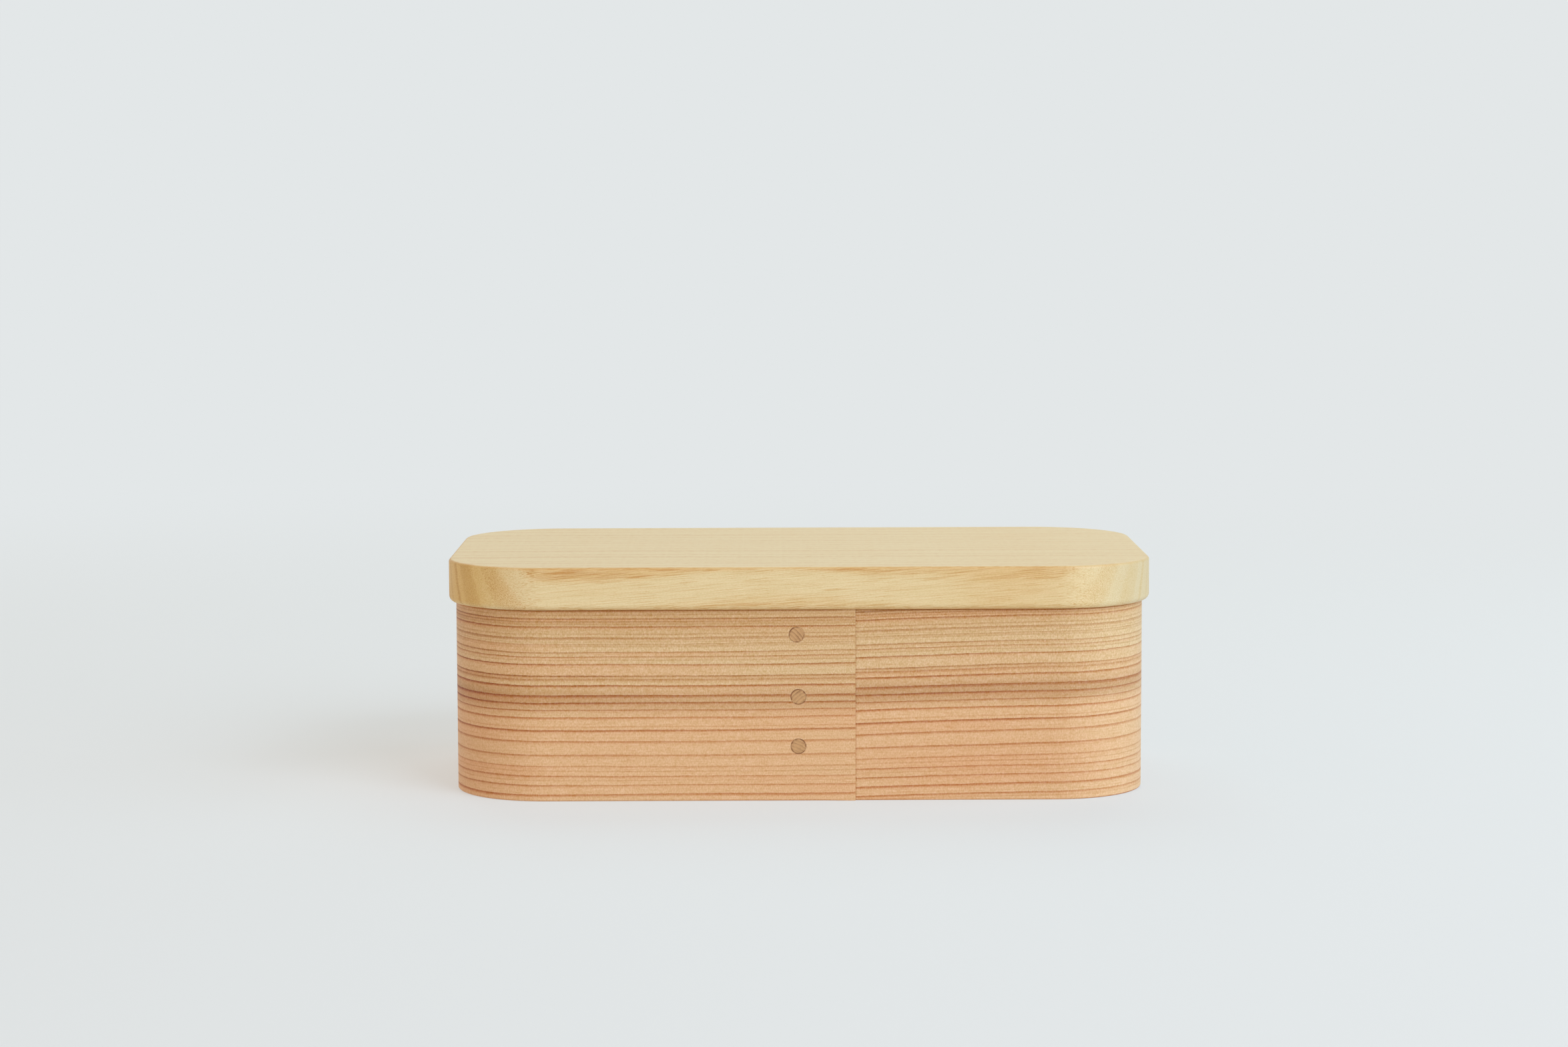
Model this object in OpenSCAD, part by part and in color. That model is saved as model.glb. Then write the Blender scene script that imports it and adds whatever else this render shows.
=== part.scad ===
// Bentwood lunch box. A cedar strip is bent round into a band whose scarfed ends
// overlap at the front and are pinned with wooden dowels. A base board sits in a
// rebate at the foot, a carved lid plugs into the mouth, and a loose divider
// stands on the base. Millimetres, +Z up, front towards -Y, standing on Z = 0.

/* [Band] */
// Width of the bent band, outside
band_w = 178; // [140:1:230]
// Depth of the bent band, outside
band_d = 98; // [84:1:140]
// Height of the band
band_h = 49; // [44:1:80]
// Thickness of the cedar strip
band_t = 4.5; // [3.5:0.1:6]
// Outside radius of the bent corners
corner_r = 24; // [18:0.5:34]
// Bevel that eases the band's edges
band_bevel = 0.5; // [0.2:0.1:1]

/* [Lap joint] */
// Length of the scarfed lap
lap_len = 29; // [20:1:44]
// Place of the lap's middle along the front, to the right of centre
lap_x = -0.5; // [-15:0.5:15]
// Step left by the thin end of the lap, outside and inside
lap_step = 0.3; // [0.2:0.05:0.6]
// Glue line between the lapped ends
glue_gap = 0.1; // [0.05:0.01:0.15]

/* [Dowels] */
// Diameter of the dowels
dowel_d = 4; // [3:0.5:6]
// Glue clearance round a dowel, on the radius
dowel_clear = 0.05; // [0.02:0.01:0.1]
// Height of the lower dowel above the band's foot
dowel_low = 14; // [10:0.5:17]
// Height of the middle dowel above the lower one
dowel_rise = 12.7; // [8:0.1:14]
// Depth of the upper dowel below the band's top edge
dowel_drop = 6.4; // [5:0.1:10]
// Drift of the upper dowel to the left of the other two
dowel_drift = 0.4; // [0:0.1:1]

/* [Base board] */
// Thickness of the base board
base_t = 5; // [3:0.5:8]
// Height of the board's underside above the band's foot
base_recess = 1; // [0.5:0.1:2]
// Depth of the rebate that the board sits in
rebate = 1.5; // [1:0.1:2.5]
// Glue clearance round the board
base_clear = 0.1; // [0.05:0.01:0.2]
// Bevel round the board's underside
base_bevel = 0.5; // [0.2:0.1:1]

/* [Lid] */
// Overhang of the lid past the band, all round
lid_overhang = 1.8; // [1:0.1:4]
// Height of the lid's edge above the band
lid_edge_h = 11; // [9:0.5:16]
// Rounding of the lid's top edge
lid_top_round = 0.8; // [0.4:0.1:2]
// Rounding of the lid's lower edge
lid_low_round = 1.5; // [0.5:0.1:2.5]
// Depth of the plug that drops into the band
plug_h = 4; // [2:0.5:8]
// Running clearance of the plug, past the lap's inner step
plug_clear = 0.3; // [0.2:0.05:1]
// Lead-in bevel round the foot of the plug
plug_bevel = 0.6; // [0.3:0.1:1.2]
// Width of the plug's rim
rim_w = 6; // [4:0.5:8]
// Rise of the hollow above the lid's seat
hollow_rise = 5; // [3:0.5:6]
// Cove round the hollow's ceiling
hollow_cove = 2.5; // [1:0.1:3]

/* [Divider] */
// Thickness of the divider
divider_t = 3; // [2:0.5:5]
// Place of the divider's middle, to the right of centre
divider_x = 30; // [-40:1:40]
// Running clearance at each end of the divider, past the lap's inner step
divider_clear = 0.3; // [0.2:0.05:1]
// Room between the divider and the lid's plug
divider_headroom = 5; // [2:0.5:10]
// Rounding of the divider's top corners
divider_corner = 4; // [1:0.5:8]
// Rounding of the divider's top edge
divider_round = 0.9; // [0.4:0.1:0.9]

/* [Hidden] */
$fn = 64;

cedar = "peru";
cedar_pale = "burlywood";
dowel_wood = "sienna";
lid_wood = "khaki";

// Length that one solid runs into another where the two are one piece of wood
fuse = 1;

// Straight lengths between the bent corners, shared by every board of the box
straight_w = band_w - 2 * corner_r;
straight_d = band_d - 2 * corner_r;
front_y = -band_d / 2;

// Height of the base board's upper face, which closes the rebate
base_top = base_recess + base_t;

// Insets from the band's outside face
base_inset = band_t - rebate + base_clear;
plug_inset = band_t + lap_step + plug_clear;
hollow_inset = plug_inset + rim_w;

lid_top = band_h + lid_edge_h;
plug_foot = band_h - plug_h;
hollow_top = band_h + hollow_rise;

dowel_len = band_t + lap_step;
dowel_bore_d = dowel_d + 2 * dowel_clear;
dowel_heights = [dowel_low, dowel_low + dowel_rise, band_h - dowel_drop];
dowel_places = [lap_x, lap_x, lap_x - dowel_drift];

divider_inset = band_t + lap_step + divider_clear;
divider_len = band_d - 2 * divider_inset;
divider_h = plug_foot - divider_headroom - base_top;

// Cross-section of the strip as [depth in from the outside face, height]. Spare
// moves both faces out along the bevels, to take in the steps of the lap.
function strip_section(spare) = [
    [band_bevel, 0],
    [band_t - rebate, 0],
    [band_t - rebate, base_top],
    [band_t + spare, base_top],
    [band_t + spare, band_h - band_bevel - spare],
    [band_t - band_bevel, band_h],
    [band_bevel, band_h],
    [-spare, band_h - band_bevel - spare],
    [-spare, band_bevel + spare]
];

// Depths of the lap's faces at a place along it, from -lap_len / 2 to lap_len / 2
function lap_share(u) = (lap_len / 2 - u) / lap_len;
function scarf_depth(u) = band_t * lap_share(u);
function outer_lap_depth(u) = -lap_step * (1 - lap_share(u));
function inner_lap_depth(u) = band_t + lap_step * lap_share(u);

// Sweeps a section round the corners of the box. The section's x runs out from the
// corner's own axis, which all the boards share, and its y is the height.
module round_corners() {
    for (turn = [0:3]) {
        sx = turn == 0 || turn == 3 ? 1 : -1;
        sy = turn < 2 ? 1 : -1;
        translate([sx * straight_w / 2, sy * straight_d / 2, 0])
            rotate([0, 0, 90 * turn])
                rotate_extrude(angle = 90)
                    children();
    }
}

// Extrudes the same section along a straight side that faces +X, centred on Y
module straight_side(length) {
    rotate([90, 0, 0])
        linear_extrude(height = length, center = true)
            children();
}

// Extrudes the section along the two ends of the box
module end_sides() {
    for (turn = [0, 180])
        rotate([0, 0, turn])
            translate([straight_w / 2, 0, 0])
                straight_side(straight_d) children();
}

// Extrudes the section along the front and back of the box
module long_sides() {
    for (turn = [90, 270])
        rotate([0, 0, turn])
            translate([straight_d / 2, 0, 0])
                straight_side(straight_w) children();
}

// Solid board with the box's rounded outline, whose edge follows the section
module board(low, high) {
    round_corners() children();
    end_sides() children();
    long_sides() children();
    translate([-straight_w / 2, -straight_d / 2, low])
        cube([straight_w, straight_d, high - low]);
}

// Board's edge section out to radius r, with both outer corners rounded
module rounded_edge(r, low, high, low_round, high_round) {
    polygon([
        [0, low], [r - low_round, low], [r, low + low_round],
        [r, high - high_round], [r - high_round, high], [0, high]
    ]);
    translate([r - low_round, low + low_round])
        circle(r = low_round);
    translate([r - high_round, high - high_round])
        circle(r = high_round);
}

// Board's edge section out to radius r, with its lower corner bevelled
module bevelled_edge(r, low, high, bevel) {
    polygon([[0, low], [r - bevel, low], [r, low + bevel], [r, high], [0, high]]);
}

// Board's edge section out to radius r, with its upper corner rounded
module coved_edge(r, low, high, cove) {
    polygon([[0, low], [r, low], [r, high - cove], [r - cove, high], [0, high]]);
    translate([r - cove, high - cove])
        circle(r = cove);
}

// Upright plate seen face on, centred on x, with its top corners rounded
module round_topped(w, h, r) {
    translate([-w / 2, 0])
        square([w, h - r]);
    translate([-w / 2 + r, 0])
        square([w - 2 * r, h]);
    for (side = [-1, 1])
        translate([side * (w / 2 - r), h - r])
            circle(r = r);
}

module strip_edge() {
    polygon([for (p = strip_section(0)) [corner_r - p[0], p[1]]]);
}

// Straight run of the strip along the front, from one place to another
module front_wall(from_x, to_x) {
    translate([(from_x + to_x) / 2, front_y + corner_r, 0])
        rotate([0, 0, -90])
            straight_side(to_x - from_x) strip_edge();
}

// One tapered end of the strip: its outline from above, trimmed to the strip's section
module lap_tongue(outline) {
    translate([lap_x, front_y, 0])
        intersection() {
            linear_extrude(height = band_h)
                polygon(outline);
            rotate([90, 0, 90])
                linear_extrude(height = 2 * lap_len, center = true)
                    polygon(strip_section(fuse));
        }
}

// Thin end that lies outside, coming from the left wall
module outer_tongue() {
    root = -lap_len / 2;
    tip = lap_len / 2;
    lap_tongue([
        [root - fuse, 0], [root, outer_lap_depth(root)], [tip, outer_lap_depth(tip)],
        [tip, scarf_depth(tip) - glue_gap], [root, scarf_depth(root) - glue_gap],
        [root - fuse, band_t - glue_gap]
    ]);
}

// Thin end that lies inside, coming from the right wall
module inner_tongue() {
    root = lap_len / 2;
    tip = -lap_len / 2 + glue_gap;
    lap_tongue([
        [root + fuse, 0], [root + fuse, band_t], [root, inner_lap_depth(root)],
        [tip, inner_lap_depth(tip)], [tip, scarf_depth(tip)], [root, scarf_depth(root)]
    ]);
}

// Cylinder through the lap at dowel i, running in from the outside
module through_lap(i, diameter, out, length) {
    translate([dowel_places[i], front_y - out, dowel_heights[i]])
        rotate([-90, 0, 0])
            cylinder(d = diameter, h = length);
}

module side_band() {
    color(cedar)
        difference() {
            union() {
                round_corners() strip_edge();
                end_sides() strip_edge();
                rotate([0, 0, 180])
                    front_wall(-straight_w / 2, straight_w / 2);
                front_wall(-straight_w / 2, lap_x - lap_len / 2);
                front_wall(lap_x + lap_len / 2, straight_w / 2);
                outer_tongue();
                inner_tongue();
            }
            for (i = [0:2])
                through_lap(i, dowel_bore_d, lap_step + fuse, band_t + 2 * (lap_step + fuse));
        }
}

module lap_dowel(i) {
    color(dowel_wood)
        through_lap(i, dowel_d, lap_step / 2, dowel_len);
}

module base_board() {
    color(cedar_pale)
        board(base_recess, base_top)
            bevelled_edge(corner_r - base_inset, base_recess, base_top, base_bevel);
}

module lid() {
    hollow_low = plug_foot - fuse;
    plug_high = band_h + fuse;
    color(lid_wood)
        difference() {
            union() {
                board(band_h, lid_top)
                    rounded_edge(corner_r + lid_overhang, band_h, lid_top, lid_low_round, lid_top_round);
                board(plug_foot, plug_high)
                    bevelled_edge(corner_r - plug_inset, plug_foot, plug_high, plug_bevel);
            }
            board(hollow_low, hollow_top)
                coved_edge(corner_r - hollow_inset, hollow_low, hollow_top, hollow_cove);
        }
}

module divider() {
    color(cedar_pale)
        translate([divider_x, 0, base_top])
            intersection() {
                rotate([90, 0, 90])
                    linear_extrude(height = divider_t, center = true)
                        round_topped(divider_len, divider_h, divider_corner);
                rotate([90, 0, 0])
                    linear_extrude(height = divider_len + fuse, center = true)
                        round_topped(divider_t, divider_h, divider_round);
            }
}

side_band();
base_board();
lap_dowel(0);  // lap_dowel_lower
lap_dowel(1);  // lap_dowel_middle
lap_dowel(2);  // lap_dowel_upper
lid();
divider();
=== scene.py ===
"""Dresses the bentwood lunch box: bent cedar band, lap dowels, base board, divider and carved lid."""

import logging
import math
from dataclasses import dataclass, field
from enum import Enum
from typing import Any, Callable, Iterable, NamedTuple, Sequence, Union

import bmesh
import bpy
from mathutils import Matrix, Vector


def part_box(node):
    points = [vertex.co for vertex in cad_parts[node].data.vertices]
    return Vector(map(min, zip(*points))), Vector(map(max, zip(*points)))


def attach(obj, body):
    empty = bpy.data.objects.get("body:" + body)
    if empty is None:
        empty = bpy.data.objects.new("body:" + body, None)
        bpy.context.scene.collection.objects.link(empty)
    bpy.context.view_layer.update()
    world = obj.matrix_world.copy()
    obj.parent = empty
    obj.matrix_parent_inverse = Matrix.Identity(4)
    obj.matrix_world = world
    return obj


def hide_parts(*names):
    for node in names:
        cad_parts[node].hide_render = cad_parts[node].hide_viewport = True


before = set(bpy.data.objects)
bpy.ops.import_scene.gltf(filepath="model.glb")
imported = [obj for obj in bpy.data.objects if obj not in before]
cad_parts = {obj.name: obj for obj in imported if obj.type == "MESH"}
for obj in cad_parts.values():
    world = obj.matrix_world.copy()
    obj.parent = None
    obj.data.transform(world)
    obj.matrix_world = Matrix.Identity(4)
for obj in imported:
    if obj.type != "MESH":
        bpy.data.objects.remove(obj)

LOG = logging.getLogger("lunch_box")
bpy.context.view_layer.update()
MM = 0.001
GRAIN = "grain"
EDGE = "edge"
CRISP_DEGREES = 40.0

Point2 = tuple[float, float]
Size3 = tuple[float, float, float]


class Mark(NamedTuple):
    """A point of a flat drawing, and how far it lies on a worn, rounded edge, from 0 to 1."""

    u: float
    v: float
    edge: float = 0.0


class Spot(NamedTuple):
    """A point of a mesh, and how far it lies on a worn, rounded edge, from 0 to 1."""

    at: Vector
    edge: float = 0.0


class Span(NamedTuple):
    """Where a gradual change starts and where it is complete."""

    start: float
    end: float


class Stripe(NamedTuple):
    """The middle of a soft stripe and half of its width."""

    middle: float
    half: float


class Body(Enum):
    """Rigid bodies of the box that a piece can ride on."""

    BOX = "box"
    LID = "lid"
    DIVIDER = "divider"


class RingDraw(Enum):
    """What each growth ring draws for itself, with the number that keeps the draws apart."""

    WEIGHT = 0
    BREADTH = 23
    MINOR_PLACE = 31
    HUE = 41
    MINOR_WEIGHT = 53


@dataclass(frozen=True)
class Tone:
    """A colour as it looks on a display, each channel from 0 to 255."""

    red: float
    green: float
    blue: float

    def linear(self) -> tuple[float, float, float, float]:
        """Gives the scene-linear colour with full alpha."""
        return (*(self._decode(c / 255) for c in (self.red, self.green, self.blue)), 1.0)

    @staticmethod
    def _decode(channel: float) -> float:
        """Undoes the display curve of one channel."""
        return channel / 12.92 if channel <= 0.04045 else ((channel + 0.055) / 1.055) ** 2.4


class Value:
    """A node's output socket that takes part in Python expressions."""

    def __init__(self, graph: "Graph", socket: bpy.types.NodeSocket) -> None:
        """Wraps a socket of a graph."""
        self.graph = graph
        self.socket = socket

    def _join(self, operation: str, first: "Input", second: "Input") -> "Value":
        """Adds the Math node, or for a vector the Vector Math node, of one operation."""
        kind = "ShaderNodeVectorMath" if self.socket.type == "VECTOR" else "ShaderNodeMath"
        return self.graph.get(kind, {"operation": operation}, {0: first, 1: second})

    def __add__(self, other: "Input") -> "Value":
        """Sum."""
        return self._join("ADD", self, other)

    def __radd__(self, other: "Input") -> "Value":
        """Sum with the socket on the right."""
        return self._join("ADD", other, self)

    def __sub__(self, other: "Input") -> "Value":
        """Difference."""
        return self._join("SUBTRACT", self, other)

    def __rsub__(self, other: "Input") -> "Value":
        """Difference with the socket on the right."""
        return self._join("SUBTRACT", other, self)

    def __mul__(self, other: "Input") -> "Value":
        """Product."""
        return self._join("MULTIPLY", self, other)

    def __rmul__(self, other: "Input") -> "Value":
        """Product with the socket on the right."""
        return self._join("MULTIPLY", other, self)

    def __truediv__(self, other: "Input") -> "Value":
        """Quotient."""
        return self._join("DIVIDE", self, other)

    def __rtruediv__(self, other: "Input") -> "Value":
        """Quotient with the socket on the right."""
        return self._join("DIVIDE", other, self)

    def __pow__(self, other: "Input") -> "Value":
        """Power."""
        return self._join("POWER", self, other)

    def __rpow__(self, other: "Input") -> "Value":
        """Power with the socket on the right."""
        return self._join("POWER", other, self)


Input = Union[Value, float, Sequence[float]]
Colour = Union[Value, Tone]


class Place(NamedTuple):
    """Where a point lies in its board, in millimetres along its fibres, through it and across its rings."""

    along: Value
    through: Value
    across: Value


class Graph:
    """The node tree of a material or of the world."""

    def __init__(self, tree: bpy.types.NodeTree) -> None:
        """Empties a tree so that it can be built up again."""
        self.tree = tree
        tree.nodes.clear()

    def node(
        self, kind: str, settings: dict[str, Any] | None = None, inputs: dict[Any, Input] | None = None
    ) -> bpy.types.Node:
        """Adds one node.

        Args:
            kind: The node's type.
            settings: Its own settings, set first. "points" fills a curve.
            inputs: Values or links of its sockets, by name or number.

        Returns:
            The new node.
        """
        made = self.tree.nodes.new(kind)
        for key, value in (settings or {}).items():
            if key == "points":
                self._fill_curve(made.mapping, value)
            else:
                setattr(made, key, value)
        for key, value in (inputs or {}).items():
            if isinstance(value, Value):
                self.tree.links.new(value.socket, made.inputs[key])
            else:
                made.inputs[key].default_value = value
        return made

    def get(
        self,
        kind: str,
        settings: dict[str, Any] | None = None,
        inputs: dict[Any, Input] | None = None,
        output: Union[int, str] = 0,
    ) -> Value:
        """Adds one node, as node() does, and gives one of its outputs."""
        return Value(self, self.node(kind, settings, inputs).outputs[output])

    @staticmethod
    def _fill_curve(mapping: bpy.types.CurveMapping, points: Sequence[Point2]) -> None:
        """Sets a curve's points, with straight runs between them.

        Args:
            mapping: The curve, as a new node has it.
            points: At least two points in rising order.
        """
        curve = mapping.curves[0]
        while len(curve.points) < len(points):
            curve.points.new(1.0, 1.0)
        for point, place in zip(curve.points, points):
            point.location = place
            point.handle_type = "VECTOR"
        mapping.update()

    def vector(self, x: Input, y: Input, z: Input = 0.0) -> Value:
        """Puts three values together as a vector."""
        return self.get("ShaderNodeCombineXYZ", inputs={0: x, 1: y, 2: z})

    def split(self, vector: Value) -> tuple[Value, ...]:
        """Takes a vector apart into its three values."""
        parts = self.node("ShaderNodeSeparateXYZ", inputs={0: vector})
        return tuple(Value(self, socket) for socket in parts.outputs)

    def grain(self) -> Place:
        """Reads where a point lies in its board."""
        stored = self.get("ShaderNodeAttribute", {"attribute_name": GRAIN}, output="Vector")
        return Place(*self.split(stored))

    def edge(self) -> Value:
        """Reads how far a point lies on a worn edge, from 0 on flat faces to 1 in the middle of a round."""
        return self.get("ShaderNodeAttribute", {"attribute_name": EDGE}, output="Fac")

    def normal(self) -> tuple[Value, ...]:
        """Gives the three parts of the way that the surface faces."""
        return self.split(self.get("ShaderNodeNewGeometry", output="Normal"))

    def end_grain(self) -> Value:
        """Tells how squarely the fibres, which run along X, come out of the surface, from 0 to 1."""
        return self.get("ShaderNodeMath", {"operation": "ABSOLUTE"}, {0: self.normal()[0]})

    def upward(self) -> Value:
        """Tells how squarely the surface faces up, from 0 to 1."""
        return self.smooth(self.normal()[2], 0.0, 1.0)

    def noise(self, place: Value, detail: float = 2.0, roughness: float = 0.5) -> Value:
        """Gives smooth noise from 0 to 1 with features about one unit long."""
        inputs = {"Vector": place, "Scale": 1.0, "Detail": detail, "Roughness": roughness}
        return self.get("ShaderNodeTexNoise", {"noise_dimensions": "3D", "normalize": True}, inputs)

    def random(self, value: Input) -> Value:
        """Gives a steady random number from 0 to 1 for each whole value."""
        return self.get("ShaderNodeTexWhiteNoise", {"noise_dimensions": "1D"}, {"W": value})

    def floor(self, value: Value) -> Value:
        """Rounds down."""
        return self.get("ShaderNodeMath", {"operation": "FLOOR"}, {0: value})

    def sine(self, value: Value) -> Value:
        """Sine of an angle in radians."""
        return self.get("ShaderNodeMath", {"operation": "SINE"}, {0: value})

    def smooth(self, value: Value, start: Input, end: Input) -> Value:
        """Rises smoothly from 0 at the start to 1 at the end, which may lie below the start."""
        settings = {"interpolation_type": "SMOOTHSTEP", "clamp": True}
        return self.get("ShaderNodeMapRange", settings, {"Value": value, "From Min": start, "From Max": end})

    def stripe(self, value: Value, middle: float, half: float) -> Value:
        """Rises smoothly to 1 at the middle of a stripe and back to 0 at its edges."""
        return self.smooth(value, middle - half, middle) * (1 - self.smooth(value, middle, middle + half))

    def curve(self, value: Value, points: Iterable[Point2]) -> Value:
        """Looks a value up on the straight runs between points in rising order, all from 0 to 1."""
        return self.get("ShaderNodeFloatCurve", {"points": list(points)}, {"Value": value})

    @staticmethod
    def _linear(colour: Colour) -> Input:
        """Gives a tone as a socket takes it, and a value as it is."""
        return colour.linear() if isinstance(colour, Tone) else colour

    def mix(self, share: Input, first: Colour, second: Colour) -> Value:
        """Mixes two colours.

        Args:
            share: Share of the second colour.
            first: Colour at share 0.
            second: Colour at share 1.

        Returns:
            The mixed colour.
        """
        settings = {"data_type": "RGBA", "clamp_factor": True}
        inputs = {0: share, 6: self._linear(first), 7: self._linear(second)}
        return self.get("ShaderNodeMix", settings, inputs, output=2)

    def stain(self, colour: Value, dye: Colour, depth: Input) -> Value:
        """Darkens a colour as a clear dye does.

        Args:
            colour: Colour under the dye.
            dye: What one unit of depth leaves of a white surface.
            depth: How much dye there is.

        Returns:
            The stained colour.
        """
        left = self.get("ShaderNodeGamma", inputs={"Color": self._linear(dye), "Gamma": depth})
        settings = {"data_type": "RGBA", "blend_type": "MULTIPLY"}
        return self.get("ShaderNodeMix", settings, {0: 1.0, 6: colour, 7: left}, output=2)

    def grade(self, colour: Value, saturation: Input, value: Input) -> Value:
        """Scales a colour's saturation and brightness."""
        inputs = {"Saturation": saturation, "Value": value, "Color": colour}
        return self.get("ShaderNodeHueSaturation", inputs=inputs)


@dataclass(frozen=True)
class Finish:
    """What every wood finish of the box shares: its slot, gloss and surface relief."""

    slot: str
    roughness: float = 0.48
    gloss: float = 0.5
    relief: float = 0.06 * MM
    relief_strength: float = 0.5

    def material(self) -> bpy.types.Material:
        """Makes the material, or gives it again where it has been made.

        Returns:
            A material whose colour, roughness and relief come from paint().
        """
        name = f"{self.slot}_finish"
        if name in bpy.data.materials:
            return bpy.data.materials[name]
        made = bpy.data.materials.new(name)
        made.use_nodes = True
        graph = Graph(made.node_tree)
        colour, roughness, height = self.paint(graph)
        bump = {"Strength": self.relief_strength, "Distance": self.relief, "Height": height}
        sockets = {
            "Base Color": colour,
            "Roughness": roughness,
            "Normal": graph.get("ShaderNodeBump", inputs=bump),
            "Specular IOR Level": self.gloss,
        }
        shader = graph.get("ShaderNodeBsdfPrincipled", inputs=sockets)
        graph.node("ShaderNodeOutputMaterial", inputs={"Surface": shader})
        return made

    def paint(self, graph: Graph) -> tuple[Value, Value, Value]:
        """Builds the figure of the wood.

        Args:
            graph: Node tree of the material.

        Returns:
            Colour, roughness and relief height.
        """
        raise NotImplementedError


class Ring(NamedTuple):
    """One growth ring of a strip: the height of its dark upper line, and how dark that line is."""

    height: float
    weight: float


class Wander(NamedTuple):
    """One way that rings stray from straight: the size of its waves along and across, its reach and seed."""

    along: float
    across: float
    reach: float
    seed: float


@dataclass(frozen=True)
class Cedar(Finish):
    """Planed cedar cut across its rings, which run as fine lines along it. Sizes are in millimetres."""

    pale: Tone = Tone(227, 181, 133)
    straw: Tone = Tone(221, 185, 136)
    blush: Tone = Tone(223, 165, 117)
    ember: Tone = Tone(201, 121, 63)
    umber: Tone = Tone(187, 163, 126)
    rust: Tone = Tone(207, 163, 124)
    ring_gap: float = 2.6
    ring_lean: float = 0.15
    wanders: tuple[Wander, ...] = (
        Wander(75, 12, reach=1.1, seed=0),
        Wander(7, 4, reach=0.2, seed=7),
        Wander(1.1, 0.4, reach=0.24, seed=17),
    )
    line_edge: Span = Span(0.12, 0.56)
    line_depth: float = 0.75
    minor_half: float = 0.28
    minor_depth: float = 0.55
    glow_edge: Span = Span(0.1, 1.7)
    glow_share: float = 0.4
    fade_length: float = 25.0
    bead_length: float = 1.1
    tint_length: float = 80.0
    tint_share: float = 0.4
    speck_size: Size3 = (0.3, 0.5, 0.5)
    streak_size: Size3 = (3.6, 0.26, 0.5)
    face_shift: Size3 = (0.0, 0.0, 0.4)
    dash_length: float = 5.0
    dash_height: float = 0.25
    dash_edge: Span = Span(0.66, 0.78)
    dash_share: float = 0.25
    coarse_height: Span = Span(15, 30)
    seed: float = 0.0

    def height(self, graph: Graph, place: Place) -> Value:
        """Gives the place across the rings, less the wander of real ones.

        Args:
            graph: Node tree of the material.
            place: Where the point lies in its board.

        Returns:
            Millimetres across rings that run straight.
        """
        height = place.across + place.through * self.ring_lean
        for wander in self.wanders:
            along, across = place.along / wander.along, place.across / wander.across
            wave = graph.noise(graph.vector(along, across, self.seed + wander.seed))
            height = height + (wave - 0.5) * wander.reach
        return height

    def draw(self, graph: Graph, ring: Value, what: RingDraw) -> Value:
        """Draws a number from 0 to 1 for a ring, the same all along it."""
        return graph.random(ring + (self.seed + what.value))

    def rings(self, graph: Graph, height: Value) -> Value:
        """Counts growth rings up to a place across them."""
        uneven = graph.noise(graph.vector(height / 6, self.seed)) - 0.5
        return height / self.ring_gap + uneven * 2.2

    def traits(self, graph: Graph, ring: Value, along: Value) -> tuple[Input, Value]:
        """Gives a ring's width and how dark its line is."""
        return self.ring_gap, 0.3 + 0.6 * self.draw(graph, ring, RingDraw.WEIGHT)

    def hue(self, graph: Graph, ring: Value) -> Value:
        """Tells how red a ring's line is, from 0 to 1."""
        return self.draw(graph, ring, RingDraw.HUE)

    def ground(self, graph: Graph, height: Value, along: Value) -> Value:
        """Gives the plain tone of the wood at a place."""
        turn = graph.noise(graph.vector(height / 14, self.seed + 3))
        return graph.mix(graph.smooth(turn, 0.35, 0.65), self.pale, self.straw)

    def minor_line(self, graph: Graph, ring: Value, share: Value, gap: Input) -> Value:
        """Draws a faint line inside each ring, at a place of its own.

        Args:
            graph: Node tree of the material.
            ring: Number of the ring.
            share: How far up the ring the point lies, from 0 to 1.
            gap: Width of the ring.

        Returns:
            Depth of the line's dye.
        """
        middle = 0.15 + 0.6 * self.draw(graph, ring, RingDraw.MINOR_PLACE)
        line = graph.stripe((share - middle) * gap, 0.0, self.minor_half)
        return line * (self.minor_depth * self.draw(graph, ring, RingDraw.MINOR_WEIGHT))

    def paint(self, graph: Graph) -> tuple[Value, Value, Value]:
        """Builds rings with a sharp upper side and a warm lower one, faint lines between, and planed fibres.

        Args:
            graph: Node tree of the material.

        Returns:
            Colour, roughness and relief height.
        """
        place = graph.grain()
        along, through, across = place
        height = self.height(graph, place)
        count = self.rings(graph, height)
        ring = graph.floor(count)
        share = count - ring
        gap, weight = self.traits(graph, ring, along)

        board = graph.vector(along, across, through)
        drawn_out = graph.vector(along / self.dash_length, across / self.dash_height, self.seed + 11)
        fade = graph.noise(graph.vector(along / self.fade_length, ring * 5.3, self.seed))
        bead = graph.noise(graph.vector(along / self.bead_length, ring * 7.1, self.seed))
        tint = graph.noise(graph.vector(along / self.tint_length, ring * 2.9, self.seed + 5), 1)
        speck = graph.noise(board / self.speck_size + self.face_shift, 1)
        streak = graph.noise(board / self.streak_size + self.face_shift)
        dash = graph.noise(drawn_out, 0)

        below = (1 - share) * gap
        breadth = 0.75 + 0.9 * self.draw(graph, ring, RingDraw.BREADTH)
        strength = weight * (0.2 + fade + 0.6 * bead)
        line = (1 - graph.smooth(below / breadth, *self.line_edge)) * strength
        glow = (1 - graph.smooth(below, *self.glow_edge)) ** 2 * strength
        minor = self.minor_line(graph, ring, share, gap) * fade
        dye = graph.mix(self.hue(graph, ring), self.umber, self.rust)
        coarse = 0.36 + 0.12 * graph.smooth(height, *self.coarse_height)
        rough_saw = (speck - 0.5) * coarse + (streak - 0.5) * 0.2

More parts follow.
